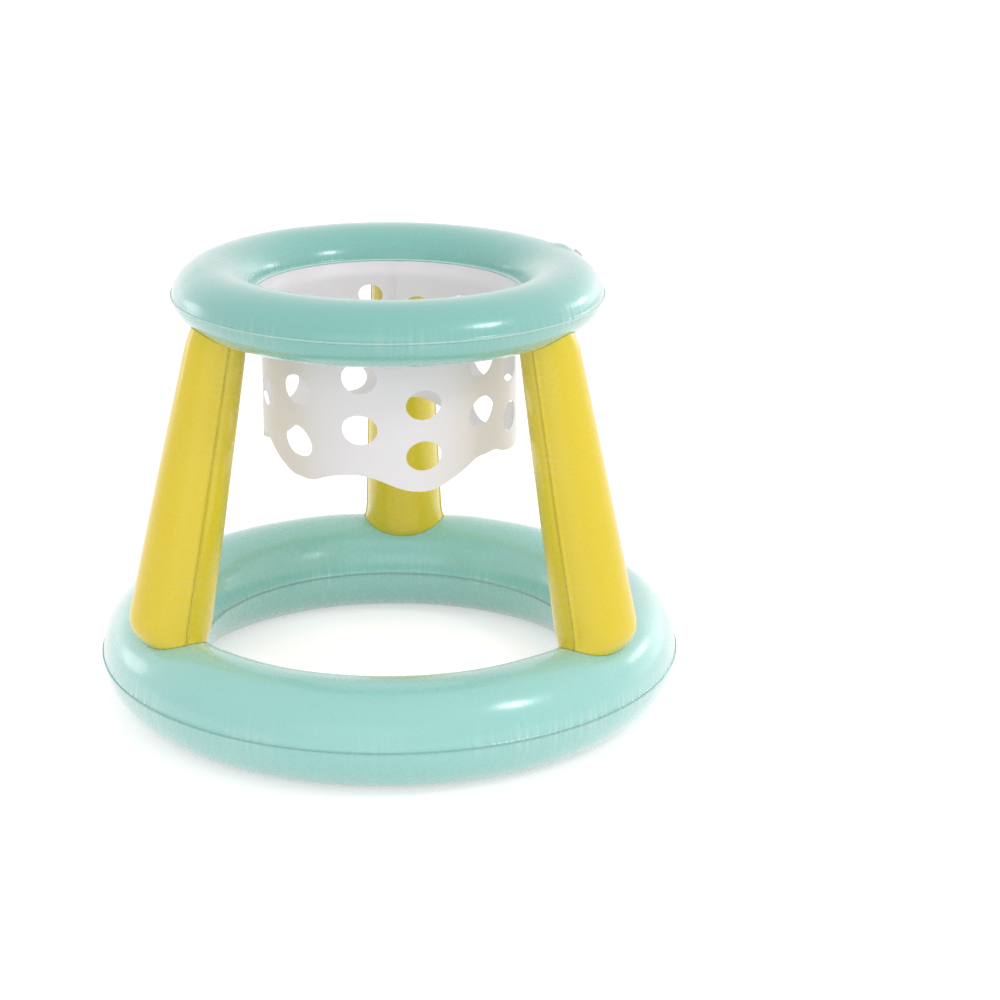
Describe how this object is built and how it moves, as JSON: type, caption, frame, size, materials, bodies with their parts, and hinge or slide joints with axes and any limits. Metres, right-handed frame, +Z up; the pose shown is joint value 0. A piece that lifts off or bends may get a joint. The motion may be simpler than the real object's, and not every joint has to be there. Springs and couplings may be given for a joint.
{
  "type": "floating basketball hoop",
  "caption": "Inflatable floating pool basketball hoop: a wide base ring, tapered columns, a raised hoop ring and a perforated net with a scalloped edge.",
  "frame": {"origin": "on the ground plane, at the middle of the base ring", "axes": "+Z up along the middle of both rings; +Y towards the rear column, so the opening between the other columns faces -Y"},
  "size_m": [0.67, 0.67, 0.5112],
  "materials": {
    "aqua_vinyl": "soft gloss inflatable vinyl, aqua",
    "yellow_vinyl": "soft gloss inflatable vinyl, yellow",
    "white_net_vinyl": "satin vinyl film, off white",
    "clear_valve_vinyl": "soft clear moulded vinyl"
  },
  "bodies": {
    "hoop_body": {"base_ring_top_sheet": "aqua_vinyl", "base_ring_bottom_sheet": "aqua_vinyl", "hoop_ring_top_sheet": "aqua_vinyl", "hoop_ring_bottom_sheet": "aqua_vinyl", "rear_column_outer_sheet": "yellow_vinyl", "rear_column_inner_sheet": "yellow_vinyl", "rear_column_foot_patch": "yellow_vinyl", "rear_column_head_patch": "yellow_vinyl", "left_column_outer_sheet": "yellow_vinyl", "left_column_inner_sheet": "yellow_vinyl", "left_column_foot_patch": "yellow_vinyl", "left_column_head_patch": "yellow_vinyl", "right_column_outer_sheet": "yellow_vinyl", "right_column_inner_sheet": "yellow_vinyl", "right_column_foot_patch": "yellow_vinyl", "right_column_head_patch": "yellow_vinyl", "net_sheet": "white_net_vinyl", "base_valve_flange": "clear_valve_vinyl", "hoop_valve_flange": "clear_valve_vinyl"},
    "base_stem": {"base_valve_stem": "clear_valve_vinyl"},
    "base_plug": {"base_valve_plug": "clear_valve_vinyl"},
    "base_flap": {"base_valve_flap": "clear_valve_vinyl"},
    "hoop_stem": {"hoop_valve_stem": "clear_valve_vinyl"},
    "hoop_plug": {"hoop_valve_plug": "clear_valve_vinyl"},
    "hoop_flap": {"hoop_valve_flap": "clear_valve_vinyl"}
  },
  "joints": [
    {"name": "base_stem_slide", "type": "slide", "parent": "hoop_body", "child": "base_stem", "axis": [-0.7455, 0.3676, 0.556], "range_m": [0, 0.0075]},
    {"name": "base_plug_hinge", "type": "hinge", "parent": "base_stem", "child": "base_plug", "pos_m": [-0.29625, 0.1355, 0.09427], "axis": [0.4986, -0.2459, 0.8312], "range_deg": [0, 140]},
    {"name": "base_flap_hinge", "type": "hinge", "parent": "base_stem", "child": "base_flap", "pos_m": [-0.27564, 0.14084, 0.08349], "axis": [0.4986, -0.2459, 0.8312], "range_deg": [0, 50], "stiffness_Nm_per_rad": 0.0002},
    {"name": "hoop_stem_slide", "type": "slide", "parent": "hoop_body", "child": "hoop_stem", "axis": [0.6811, 0.3176, 0.6597], "range_m": [0, 0.0075]},
    {"name": "hoop_plug_hinge", "type": "hinge", "parent": "hoop_stem", "child": "hoop_plug", "pos_m": [0.20974, 0.10828, 0.49899], "axis": [-0.5979, -0.2788, 0.7516], "range_deg": [0, 140]},
    {"name": "hoop_flap_hinge", "type": "hinge", "parent": "hoop_stem", "child": "hoop_flap", "pos_m": [0.20239, 0.08952, 0.48619], "axis": [-0.5979, -0.2788, 0.7516], "range_deg": [0, 50], "stiffness_Nm_per_rad": 0.0002}
  ]
}
